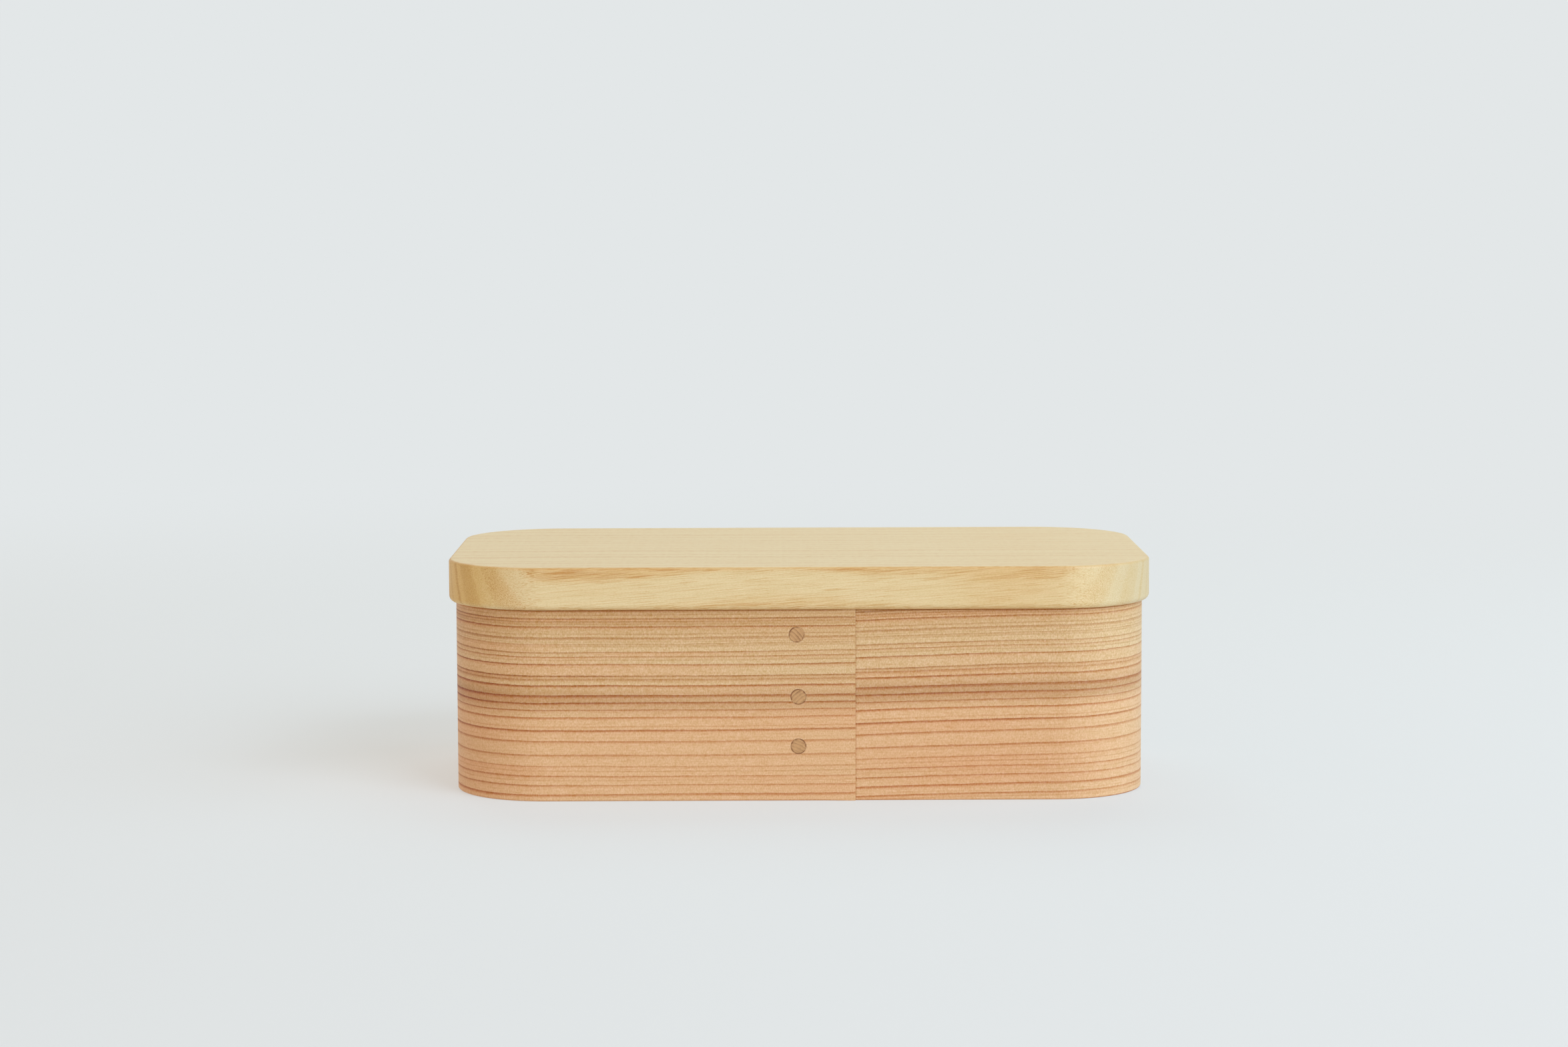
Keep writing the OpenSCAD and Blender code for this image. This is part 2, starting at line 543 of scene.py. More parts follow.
        colour = self.ground(graph, height, along)
        colour = graph.mix(graph.smooth(tint, 0.5, 0.75) * self.tint_share, colour, self.blush)
        colour = graph.mix(graph.smooth(tint, 0.5, 0.25) * self.tint_share, colour, self.straw)
        colour = graph.mix(glow * self.glow_share, colour, self.ember)
        colour = graph.mix(graph.smooth(dash, *self.dash_edge) * self.dash_share, colour, self.ember)
        colour = graph.stain(colour, dye, line * self.line_depth + minor)
        colour = graph.mix(graph.edge() * (0.1 + 0.5 * fade), colour, self.ember)
        colour = graph.grade(colour, 1 - rough_saw * 0.9, 1 + rough_saw)
        roughness = self.roughness + rough_saw * 0.2 + line * 0.06
        return colour, roughness, line * 0.5 + speck * 0.4 + streak * 0.4


@dataclass(frozen=True)
class StripCedar(Cedar):
    """Cedar of the bent strip, whose rings drift a little from one end of the strip to the other."""

    strip_turn: float = field(kw_only=True)
    lap_half: float = field(kw_only=True)
    dusk: Tone = Tone(200, 154, 106)
    # Painted shade: a darker tone towards the band's top edge, under the lid's overhang.
    under_lid_shade: Tone = Tone(208, 166, 115)
    amber: Tone = Tone(226, 212, 186)
    strip_rings: tuple[Ring, ...] = (
        Ring(-5.0, 0.5), Ring(-2.6, 0.6), Ring(-0.4, 0.5), Ring(2.0, 0.65), Ring(4.4, 0.5),
        Ring(6.7, 0.5), Ring(9.3, 0.35), Ring(12.2, 0.5), Ring(15.7, 0.5), Ring(18.5, 0.8),
        Ring(21.8, 0.6), Ring(23.7, 0.6), Ring(25.6, 0.9), Ring(27.5, 0.95), Ring(30.1, 0.95),
        Ring(31.7, 0.5), Ring(32.4, 0.75), Ring(35.4, 0.8), Ring(37.4, 0.55), Ring(38.5, 0.5),
        Ring(40.6, 0.25), Ring(42.1, 0.45), Ring(44.9, 0.75), Ring(46.3, 0.35), Ring(47.0, 0.6),
        Ring(49.2, 0.5), Ring(51.5, 0.6), Ring(54.0, 0.6), Ring(57.0, 0.6),
    )
    rise_right: float = 0.037
    rise_left: float = 0.009
    seam_drop: float = 0.9
    seam_half: float = 0.4
    seam_depth: float = 0.4
    first_bend: Span = Span(75, 125)
    faint_along: Stripe = Stripe(85, 60)
    faint_loss: float = 0.25
    deep_along: Stripe = Stripe(415, 60)
    deep_gain: float = 0.6
    foot_rings: Span = Span(12, 8)
    red_rings: Span = Span(20, 9)
    patch_along: Stripe = Stripe(45, 45)
    patch_height: Stripe = Stripe(7, 11)
    patch_share: float = 0.6
    straw_height: Span = Span(20, 34)
    dusk_height: Stripe = Stripe(26, 5)
    streak_along: Stripe = Stripe(415, 70)
    streak_height: Stripe = Stripe(27.5, 4.5)
    streak_depth: float = 0.25
    under_lid_shade_height: Span = Span(40, 46)

    def height(self, graph: Graph, place: Place) -> Value:
        """Takes off the drift of the rings too, a cubic with a given rise at each end of the strip.

        Args:
            graph: Node tree of the material.
            place: Where the point lies in the strip.

        Returns:
            The height that the point's ring has at the strip's outer end.
        """
        turn = place.along / self.strip_turn
        start, end = self.rise_right * self.strip_turn, self.rise_left * self.strip_turn
        cube = start + end + 2 * self.seam_drop
        square = -2 * start - end - 3 * self.seam_drop
        lift = ((turn * cube + square) * turn + start) * turn + self.seam_drop
        return super().height(graph, place) - lift

    def rings(self, graph: Graph, height: Value) -> Value:
        """Counts the strip's rings from their heights.

        Args:
            graph: Node tree of the material.
            height: Place across the rings.

        Returns:
            Rings up to the place.
        """
        low, high = self.strip_rings[0].height, self.strip_rings[-1].height
        last = len(self.strip_rings) - 1
        points = [((ring.height - low) / (high - low), i / last) for i, ring in enumerate(self.strip_rings)]
        return graph.curve((height - low) / (high - low), points) * last

    def traits(self, graph: Graph, ring: Value, along: Value) -> tuple[Input, Value]:
        """Looks up a ring's width and how dark its line is, deeper at one bend and fainter at another.

        Args:
            graph: Node tree of the material.
            ring: Number of the ring.
            along: Millimetres along the strip.

        Returns:
            The width in millimetres, and the darkness.
        """
        pairs = list(zip(self.strip_rings, self.strip_rings[1:]))
        gaps = [high.height - low.height for low, high in pairs]
        weights = [high.weight for low, high in pairs]
        middles = [(i + 0.5) / len(pairs) for i in range(len(pairs))]
        widest = max(gaps)
        middle = (ring + 0.5) / len(pairs)
        gap = graph.curve(middle, zip(middles, [gap / widest for gap in gaps])) * widest
        weight = graph.curve(middle, zip(middles, weights))
        deep = graph.stripe(along, *self.deep_along) * self.deep_gain
        faint = graph.stripe(along, *self.faint_along) * self.faint_loss
        foot = graph.smooth(ring, *self.foot_rings)
        return gap, weight * (1 + deep - faint + self.first_run(graph, along) * (0.1 + 0.3 * foot))

    def first_run(self, graph: Graph, along: Value) -> Value:
        """Tells the first run of the strip, up to its first bend, from the rest of it."""
        return 1 - graph.smooth(along, *self.first_bend)

    def hue(self, graph: Graph, ring: Value) -> Value:
        """Tells how red a ring's line is: redder towards the strip's foot."""
        return 0.5 * super().hue(graph, ring) + 0.5 * graph.smooth(ring, *self.red_rings)

    def ground(self, graph: Graph, height: Value, along: Value) -> Value:
        """Gives a pinkish foot with a redder patch, a dusky streak, a tan upper part, painted shade along
        the top under the lid, and a dark seam.

        Args:
            graph: Node tree of the material.
            height: Place across the rings.
            along: Millimetres along the strip.

        Returns:
            The tone between the ring lines.
        """
        patch = graph.stripe(along, *self.patch_along) * graph.stripe(height, *self.patch_height)
        tone = graph.mix(patch * self.patch_share, self.pale, self.blush)
        tone = graph.mix(graph.smooth(height, *self.straw_height), tone, self.straw)
        dusky = graph.stripe(height, *self.dusk_height) * (0.8 + 0.3 * self.first_run(graph, along))
        tone = graph.mix(dusky, tone, self.dusk)
        streak = graph.stripe(along, *self.streak_along) * graph.stripe(height, *self.streak_height)
        tone = graph.stain(tone, self.umber, streak * self.streak_depth)
        seam = graph.stripe(along, self.lap_half, self.seam_half)
        seam = seam + graph.stripe(along, self.strip_turn + self.lap_half, self.seam_half)
        tone = graph.stain(tone, self.amber, seam * self.seam_depth)
        # Painted shade: the band darkens towards its top edge, under the lid.
        return graph.mix(graph.smooth(height, *self.under_lid_shade_height), tone, self.under_lid_shade)


@dataclass(frozen=True)
class PaleHardwood(Finish):
    """Pale open-pored hardwood whose rings stand nearly upright in the lid. Sizes are in millimetres."""

    pale: Tone = Tone(231, 206, 156)
    straw: Tone = Tone(218, 166, 90)
    # End grain runs from heel at the left end to toe at the right: partly the end grain's own golden tone,
    # partly painted light, with the right end paler and cooler as a painted sheen.
    heel: Tone = Tone(228, 195, 124)
    sheened_toe: Tone = Tone(215, 192, 149)
    husk: Tone = Tone(209, 171, 95)
    pore: Tone = Tone(222, 188, 149)
    ring_gap: float = 5.0
    ring_lean: float = 0.27
    edge_place: float = -67.0
    edge_share: float = 0.32
    fibre_rise: float = math.radians(4.5)
    wave_length: float = 103.0
    wave_place: float = -79.0
    wave_half: float = 0.43
    wander_size: Size3 = (60.0, 14.0, 14.0)
    ragged_size: Size3 = (6.0, 0.6, 0.5)
    long_pore: Size3 = (10.0, 0.13, 0.13)
    short_pore: Size3 = (1.6, 0.2, 0.2)
    pore_depth: float = 0.75
    silk_size: Size3 = (14.0, 0.35, 0.35)
    speck_size: Size3 = (0.5, 0.25, 0.25)
    cloud_size: Size3 = (40.0, 6.0, 6.0)
    porous_rise: Span = Span(0.0, 0.22)
    porous_fall: Span = Span(0.64, 0.34)
    porous_thin: Span = Span(-20, 70)
    end_turn: Span = Span(0.2, 0.8)
    heel_to_sheened_toe: Span = Span(-60, 60)
    fine_end: Span = Span(0, 60)
    worn_height: Span = Span(52, 58)
    warm_patch: Stripe = Stripe(56, 26)

    def early_wood(self, graph: Graph, board: Value, fibre: Value) -> Value:
        """Finds the porous early wood of the leaning rings.

        Args:
            graph: Node tree of the material.
            board: Place in the lid.
            fibre: The same place, turned to the fibres.

        Returns:
            How porous the wood is, from 0 to 1.
        """
        x, y, z = graph.split(board)
        wave = graph.sine((x - self.wave_place) * (2 * math.pi / self.wave_length)) * self.wave_half
        wander = graph.noise(board / self.wander_size) - 0.5
        ragged = graph.noise(fibre / self.ragged_size) - 0.5
        inward = y - z * self.ring_lean - self.edge_place - wave + wander + ragged * 0.7
        uneven = graph.sine(inward * 0.9) * 0.12 + graph.sine(inward * 0.37) * 0.2
        count = inward / self.ring_gap + uneven + self.edge_share
        ring = graph.floor(count)
        share = count - ring
        weight = 0.75 + 0.25 * graph.sine(ring * 2.4 + 1.2)
        porous = graph.smooth(share, *self.porous_rise) * graph.smooth(share, *self.porous_fall) * weight
        return porous * (1 - 0.35 * graph.smooth(x, *self.porous_thin))

    def open_pores(self, graph: Graph, fibre: Value, porous: Value, end: Value) -> Value:
        """Scatters long pores along the fibres, more of them in early wood, and dots.

        Args:
            graph: Node tree of the material.
            fibre: Place turned to the fibres.
            porous: How porous the wood is, from 0 to 1.
            end: How far the surface is end grain, from 0 to 1.

        Returns:
            Depth of the pores.
        """
        long_pores = graph.noise(fibre / self.long_pore, 0)
        short_pores = graph.noise(fibre / self.short_pore, 0)
        wider = porous * 0.1 + end * 0.02
        lines = graph.smooth(long_pores, 0.6 - wider, 0.7 - wider) * (0.45 + 0.55 * porous)
        dots = graph.smooth(short_pores, 0.66 - end * 0.1, 0.82 - end * 0.1)
        return lines + dots * 0.3

    def paint(self, graph: Graph) -> tuple[Value, Value, Value]:
        """Builds early wood, pores, silky fibres and toned end grain, all calmer and paler on the top face
        as a painted reflection of the backdrop, with the right end grain paler and cooler as a painted
        sheen.

        Args:
            graph: Node tree of the material.

        Returns:
            Colour, roughness and relief height.
        """
        x, z, y = graph.grain()
        along = x * math.cos(self.fibre_rise) + z * math.sin(self.fibre_rise)
        climb = z * math.cos(self.fibre_rise) - x * math.sin(self.fibre_rise)
        board = graph.vector(x, y, z)
        fibre = graph.vector(along, y, climb)
        end = graph.smooth(graph.end_grain(), *self.end_turn)
        top = graph.upward()
        # Painted reflection: the top face gets less warm figure and less silk, so it reads paler, as a
        # grazing reflection of the backdrop makes it.
        top_veil_calm = 1 - 0.7 * top
        edge = graph.edge()

        silk = graph.noise(fibre / self.silk_size, 3, 0.6)
        speck = graph.noise(fibre / self.speck_size, 1)
        cloud = graph.noise(board / self.cloud_size)
        porous = self.early_wood(graph, board, fibre)
        fine = end * graph.smooth(x, *self.fine_end)
        # The top face also keeps fewer pores, part of its painted reflection.
        pores = self.open_pores(graph, fibre, porous, end) * (1 - 0.45 * top) * (1 - 0.6 * fine)
        worn = edge * graph.smooth(z, *self.worn_height)
        patch = graph.stripe(x, *self.warm_patch) * top_veil_calm
        warmth = porous * 0.45 * top_veil_calm + (cloud - 0.5) * 0.45 + worn * 0.35 + patch * 0.22
        sheen = ((silk - 0.5) * 0.2 + (speck - 0.5) * 0.16) * top_veil_calm

        # Real end-grain tone with painted light: golden at the left end, paler and cooler at the right as a
        # painted sheen.
        end_tone_and_sheen = graph.mix(graph.smooth(x, *self.heel_to_sheened_toe), self.heel, self.sheened_toe)
        colour = graph.mix(end, self.pale, end_tone_and_sheen)
        colour = graph.mix(warmth, colour, graph.mix(end, self.straw, self.husk))
        colour = graph.stain(colour, self.pore, pores * self.pore_depth)
        colour = graph.grade(colour, 1 - sheen, 1 + sheen)
        roughness = self.roughness + (silk - 0.5) * 0.12 + pores * 0.1 - edge * 0.05
        return colour, roughness, silk * 0.3 - pores * 0.4


@dataclass(frozen=True)
class DowelWood(Finish):
    """Brown hardwood seen on its end, with bowed rings and fine pores. Sizes are in millimetres."""

    light: Tone = Tone(204, 157, 106)
    dark: Tone = Tone(140, 94, 54)
    # Painted shade of the gap round the dowel, laid on as a patchy dark rim.
    rim: Tone = Tone(130, 78, 40)
    ring_gap: float = 0.85
    ring_bow: float = 0.06
    ragged_size: Size3 = (3.0, 0.6, 0.6)
    pore_size: Size3 = (3.0, 0.16, 0.16)
    cloud_size: Size3 = (6.0, 1.6, 1.6)
    gap_shade_edge: Span = Span(0.6, 0.95)
    gap_shade_patch: Span = Span(0.4, 0.62)
    gap_shade_patch_size: float = 1.8
    gap_shade_share: float = 0.85

    def paint(self, graph: Graph) -> tuple[Value, Value, Value]:
        """Builds bowed rings across the end grain, dots of pores and a patchy dark rim of painted shade from
        the gap round the dowel.

        Args:
            graph: Node tree of the material.

        Returns:
            Colour, roughness and relief height.
        """
        along, through, across = graph.grain()
        place = graph.vector(along, through, across)
        ragged = graph.noise(place / self.ragged_size, 3) - 0.5
        dots = graph.noise(place / self.pore_size, 1)
        cloud = graph.noise(place / self.cloud_size)
        flat = graph.vector(through / self.gap_shade_patch_size, across / self.gap_shade_patch_size, 5.0)
        patchy = graph.noise(flat, 1)

        count = (across + through * through * self.ring_bow + ragged * 0.4) / self.ring_gap
        ring = graph.floor(count)
        share = count - ring
        late = graph.smooth(share, 0.2, 1.0) * (0.35 + 0.65 * graph.random(ring))
        # Painted shade: a patchy dark rim on the dowel's rounded edge, where shade falls in the gap round
        # it.
        rim = graph.smooth(graph.edge(), *self.gap_shade_edge) * graph.smooth(patchy, *self.gap_shade_patch)
        colour = graph.mix(late * 0.7 + (cloud - 0.5) * 0.9, self.light, self.dark)
        colour = graph.mix(graph.smooth(dots, 0.6, 0.75) * 0.5, colour, self.dark)
        colour = graph.mix(rim * self.gap_shade_share, colour, self.rim)
        return colour, self.roughness + dots * 0.1, dots * 0.4 + late * 0.3


def rounded_outline(half_w: float, half_d: float, radius: float, steps: int) -> list[Vector]:
    """Makes the outline of a rounded oblong seen from above.

    Args:
        half_w: Half of its width.
        half_d: Half of its depth.
        radius: Radius of its corners.
        steps: Segments in each corner.

    Returns:
        Points counter-clockwise from the right end of the front.
    """
    points = []
    for turn, (sx, sy) in enumerate(((1, -1), (1, 1), (-1, 1), (-1, -1))):
        centre = Vector((sx * (half_w - radius), sy * (half_d - radius), 0))
        for i in range(steps + 1):
            angle = math.radians(90 * (turn - 1 + i / steps))
            points.append(centre + Vector((math.cos(angle), math.sin(angle), 0)) * radius)
    return points


def arc(centre: Point2, radius: float, start: float, end: float, steps: int = 5) -> list[Mark]:
    """Draws an arc, which is taken as a worn edge.

    Args:
        centre: Centre of the arc.
        radius: Its radius.
        start: Angle of its first point, in degrees.
        end: Angle of its last point, in degrees.
        steps: Straight runs along it.

    Returns:
        Points along the arc, most worn in its middle.
    """
    points = []
    for i in range(steps + 1):
        angle = math.radians(start + (end - start) * i / steps)
        wear = math.sin(math.pi * i / steps)
        points.append(Mark(centre[0] + radius * math.cos(angle), centre[1] + radius * math.sin(angle), wear))
    return points


def skin(rings: Sequence[Sequence[Spot]]) -> bmesh.types.BMesh:
    """Joins closed rings of equal length with faces, and caps the first and the last.

    Args:
        rings: Rings of spots in order.

    Returns:
        A closed mesh that keeps how far each spot lies on a worn edge.
    """
    mesh = bmesh.new()
    layer = mesh.verts.layers.float.new(EDGE)
    made = []
    for ring in rings:
        made.append([mesh.verts.new(spot.at) for spot in ring])
        for vert, spot in zip(made[-1], ring):
            vert[layer] = spot.edge
    for low, high in zip(made, made[1:]):
        for i, vert in enumerate(low):
            j = (i + 1) % len(low)
            mesh.faces.new((vert, low[j], high[j], high[i]))
    mesh.faces.new(list(reversed(made[0])))
    mesh.faces.new(made[-1])
    bmesh.ops.recalc_face_normals(mesh, faces=mesh.faces)
    return mesh


def to_object(name: str, mesh: bmesh.types.BMesh) -> bpy.types.Object:
    """Turns a built mesh into an object with smooth rounds and crisp edges.

    Args:
        name: Name of the piece.
        mesh: Built mesh, which is freed.

    Returns:
        The new object, in the scene.
    """
    data = bpy.data.meshes.new(name)
    mesh.to_mesh(data)
    mesh.free()
    piece = bpy.data.objects.new(name, data)
    bpy.context.scene.collection.objects.link(piece)
    settle_normals(piece)
    return piece


def settle_normals(piece: bpy.types.Object) -> None:
    """Shades a piece smooth apart from its crisp edges, with flat faces kept flat.

    Args:
        piece: Piece to shade.
    """
    piece.data.polygons.foreach_set("use_smooth", [True] * len(piece.data.polygons))
    piece.data.set_sharp_from_angle(angle=math.radians(CRISP_DEGREES))
    flatten = piece.modifiers.new("flat_faces", "WEIGHTED_NORMAL")
    flatten.keep_sharp = True


def set_grain(piece: bpy.types.Object, place: Callable[[Vector], Sequence[float]]) -> None:
    """Stores where each point lies in its board, in millimetres.

    Args:
        piece: Piece to mark.
        place: Gives metres along the fibres, through the board and across its rings.
    """
    layer = piece.data.attributes.new(GRAIN, "FLOAT_VECTOR", "POINT")
    for vert, entry in zip(piece.data.vertices, layer.data):
        entry.vector = [value / MM for value in place(vert.co)]


def flat_board(co: Vector) -> tuple[float, float, float]:
    """Places a point in a flat board whose fibres run along X."""
    return co.x, co.z, co.y


def upright_board(co: Vector) -> tuple[float, float, float]:
    """Places a point in an upright board whose fibres run along Y."""
    return co.y, co.x, co.z


def settle(piece: bpy.types.Object, body: Body, node: str, finish: Finish) -> None:
    """Dresses a piece, sets it in place of its CAD node and reports it.

    Args:
        piece: Piece in its place.
        body: Body that it rides on.
        node: CAD node that it stands for.
        finish: Finish of its whole surface.
    """
    piece.data.materials.clear()
    piece.data.materials.append(finish.material())
    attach(piece, body.value)
    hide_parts(node)
    LOG.info("%s: %d faces on %s", piece.name, len(piece.data.polygons), body.value)


@dataclass
class Plan:
    """Plan of the box that all its boards share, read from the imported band, lid and base board."""

    half_w: float = field(init=False)
    half_d: float = field(init=False)
    band_top: float = field(init=False)
    lid_top: float = field(init=False)
    overhang: float = field(init=False)
    base_low: float = field(init=False)
    base_high: float = field(init=False)
    centre_w: float = field(init=False)
    centre_d: float = field(init=False)
    strip_turn: float = field(init=False)
    corner_r: float = 24 * MM
    wall: float = 4.5 * MM
    rebate: float = 1.5 * MM
    bore_r: float = 2 * MM
    corner_steps: int = 24

    def __post_init__(self) -> None:
        """Reads the sizes that the CAD nodes give, and finds the bends' centres and the strip's length."""
        band_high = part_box("side_band")[1]
        lid_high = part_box("lid")[1]
        base_low, base_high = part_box("base_board")
        self.half_w, self.half_d, self.band_top = band_high
        self.lid_top = lid_high.z
        self.overhang = lid_high.x - band_high.x
        self.base_low, self.base_high = base_low.z, base_high.z
        self.centre_w = self.half_w - self.corner_r
        self.centre_d = self.half_d - self.corner_r
        self.strip_turn = 4 * (self.centre_w + self.centre_d + math.pi / 2 * self.corner_r)

    def ring(self, inset: float, z: float) -> list[Vector]:
        """Gives the box's outline, drawn in by an inset, at a height."""
        sizes = [size - inset for size in (self.half_w, self.half_d, self.corner_r)]
        return [Vector((p.x, p.y, z)) for p in rounded_outline(*sizes, self.corner_steps)]

    def loops(self, profile: Iterable[Mark]) -> list[list[Spot]]:
        """Carries a profile of insets and heights round the box's outline."""
        return [[Spot(p, mark.edge) for p in self.ring(mark.u, mark.v)] for mark in profile]


@dataclass
class BentBand:
    """The cedar strip, bent into a band, with its scarfed and dowelled lap at the front."""

    plan: Plan
    finish: StripCedar
    lap_len: float = 29 * MM
    lap_step: float = 0.3 * MM
    glue_gap: float = 0.1 * MM
    edge_r: float = 0.5 * MM
    edge_share: float = 0.4
    least_foot: float = 0.01 * MM
    foot_shares: tuple[float, ...] = (0.6, 0.8, 1.0)
    tip_ease: float = 0.3 * MM
    tip_drop: float = 0.06 * MM
    groove_w: float = 0.15 * MM
    groove_d: float = 0.05 * MM
    groove_shape: tuple[Point2, ...] = ((0.1, 1.0), (0.5, 1.0), (1.0, 0.0))
    lap_steps: int = 30
    bore_sides: int = 64
    lap_x: float = field(init=False)

    def __post_init__(self) -> None:
        """Finds the lap's middle from its middle dowel."""
        low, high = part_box("lap_dowel_middle")
        self.lap_x = (low.x + high.x) / 2

    def lap_share(self, u: float) -> float:
        """Falls from 1 at the lap's left end to 0 at its right end."""
        return 0.5 - u / self.lap_len

    def scarf(self, u: float) -> float:
        """Depth of the sloping glue face inside the lap."""
        return self.plan.wall * self.lap_share(u)

    def section(self, outer: float, inner: float) -> list[Mark]:
        """Makes the strip's cross-section at one place.

        Args:
            outer: Depth of its outside face.
            inner: Depth of its inside face.

        Returns:
            Points of depth and height, round the section.
        """
        top, shoulder = self.plan.band_top, self.plan.base_high
        thick = inner - outer
        r = min(self.edge_r, self.edge_share * thick)
        foot = min(inner, self.plan.wall - self.plan.rebate)
        if foot - outer > self.least_foot:
            low_r = min(self.edge_r, self.edge_share * (foot - outer))
            rise = self.edge_r if foot == inner else 0.0
            lower = arc((outer + low_r, low_r), low_r, 180, 270)
            lower += [Mark(foot, 0.0), Mark(foot, shoulder), Mark(inner, shoulder + rise)]
        else:
            lower = arc((outer + r, shoulder + r), r, 180, 270)
            lower += [Mark(outer + share * thick, shoulder) for share in self.foot_shares]
        upper = [*arc((inner - r, top - r), r, 0, 90), *arc((outer + r, top - r), r, 90, 180)]
        return lower + upper

    def stations(self) -> list[tuple[Vector, Vector, float, float]]:
        """Follows the strip from its inner end, right round the box, to its outer end.

        Returns:
            Place on the outline, way out of the box, and depth of the outside and inside faces.
        """
        plan, half = self.plan, self.lap_len / 2
        front = Vector((0, -1, 0))
        found = []
        places = [-half + self.lap_len * i / self.lap_steps for i in range(self.lap_steps + 1)]
        places[0] += self.glue_gap
        for u in places:
            inner = plan.wall + self.lap_step * self.lap_share(u)
            found.append((self.front_point(u), front, self.scarf(u), inner))
        for u, depth in self.groove_shape:
            at = self.front_point(half + u * self.groove_w)
            found.append((at, front, depth * self.groove_d, plan.wall))
        for p in plan.ring(0, 0):
            centre = Vector((math.copysign(plan.centre_w, p.x), math.copysign(plan.centre_d, p.y), 0))
            found.append((p, (p - centre).normalized(), 0.0, plan.wall))
        places[0] -= self.glue_gap
        places[-1:] = [half - self.tip_ease, half - 0.5 * self.tip_ease, half]
        for u in places:
            eased = max(0.0, 1 - (half - u) / self.tip_ease) * self.tip_drop
            outer = -self.lap_step * (1 - self.lap_share(u)) + eased
            found.append((self.front_point(u), front, outer, self.scarf(u) - self.glue_gap))
        return found

    def front_point(self, u: float) -> Vector:
        """Gives the point of the front outline at a distance from the lap's middle."""
        return Vector((self.lap_x + u, -self.plan.half_d, 0))

    def bore(self, piece: bpy.types.Object) -> None:
        """Drills the dowels' bores through both thicknesses of the lap.

        Args:
            piece: The band, whose mesh is replaced.
        """
        drills = bmesh.new()
        drill_len = 4 * self.plan.wall
        for dowel in LapDowels.dowels:
            low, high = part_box(dowel.node)
            place = Matrix.Translation((low + high) / 2) @ Matrix.Rotation(math.pi / 2, 4, "X")
            bmesh.ops.create_cone(
                drills,
                cap_ends=True,
                segments=self.bore_sides,
                radius1=self.plan.bore_r,
                radius2=self.plan.bore_r,
                depth=drill_len,
                matrix=place,
            )
        cutter = to_object("drills", drills)
        for plain in (piece, cutter):
            plain.modifiers.clear()
        cut = piece.modifiers.new("bores", "BOOLEAN")
        cut.object = cutter
        cut.solver = "MANIFOLD"
        bpy.context.view_layer.update()
        seen = piece.evaluated_get(bpy.context.evaluated_depsgraph_get())
        drilled = bpy.data.meshes.new_from_object(seen)
        piece.modifiers.clear()
        piece.data = drilled
        bpy.data.objects.remove(cutter)

    def along_strip(self, co: Vector) -> tuple[float, float, float]:
        """Finds a point's place in the unbent strip.

        Args:
            co: Point of the band.

        Returns:
            Length along the strip from the lap's middle on its inner end, depth and height.
        """
        plan = self.plan
        dx = co.x - max(-plan.centre_w, min(plan.centre_w, co.x))
        dy = co.y - max(-plan.centre_d, min(plan.centre_d, co.y))
        depth = plan.corner_r - math.hypot(dx, dy)
        bends = plan.corner_r * (math.atan2(dx, -dy) % (2 * math.pi))
        if dx == 0 and dy < 0:
            length = co.x if self.is_inner(co, depth) else plan.strip_turn + co.x
        elif dy == 0 and dx > 0:
            length = plan.centre_w + bends + co.y + plan.centre_d
        elif dx == 0 and dy > 0:
            length = 2 * plan.centre_w + 2 * plan.centre_d + bends - co.x
        elif dy == 0 and dx < 0:
            length = 3 * plan.centre_w + 3 * plan.centre_d + bends - co.y
        else:
            length = plan.centre_w + bends + self._straight_before(dx, dy)
        return length - self.lap_x, depth, co.z

    def _straight_before(self, dx: float, dy: float) -> float:
        """Sums the straight runs between the first bend and another.

        Args:
            dx: Distance to the right of that bend's centre.
            dy: Distance behind it.

        Returns:
            Their length.
        """
        side, back = 2 * self.plan.centre_d, 2 * self.plan.centre_w
        if dx > 0:
            return 0.0 if dy < 0 else side
        return side + back if dy > 0 else 2 * side + back

    def is_inner(self, co: Vector, depth: float) -> bool:
        """Tells which end of the strip a point of the front belongs to.

        Args:
            co: Point of the band's front.
            depth: Its depth below the outside face.

        Returns:
            True for the inner end.
        """
        u = co.x - self.lap_x
        if abs(u) > self.lap_len / 2:
            return u > 0
        return depth > self.scarf(u) - self.glue_gap / 2

    def build(self) -> bpy.types.Object:
        """Builds and dresses the band.

        Returns:
            The finished piece.
        """
        rings = []
        for at, out, outer, inner in self.stations():
            marks = self.section(outer, inner)
            rings.append([Spot(at - out * mark.u + Vector((0, 0, mark.v)), mark.edge) for mark in marks])
        piece = to_object("bent_cedar_band", skin(rings))
        self.bore(piece)
        settle_normals(piece)
        set_grain(piece, self.along_strip)
        settle(piece, Body.BOX, "side_band", self.finish)
        return piece


class DowelSeat(NamedTuple):
    """How one dowel sits: its node, the ways that it leans and its grain turns, and its rings' offset."""

    node: str
    lean_degrees: float
    grain_degrees: float
    offset: float


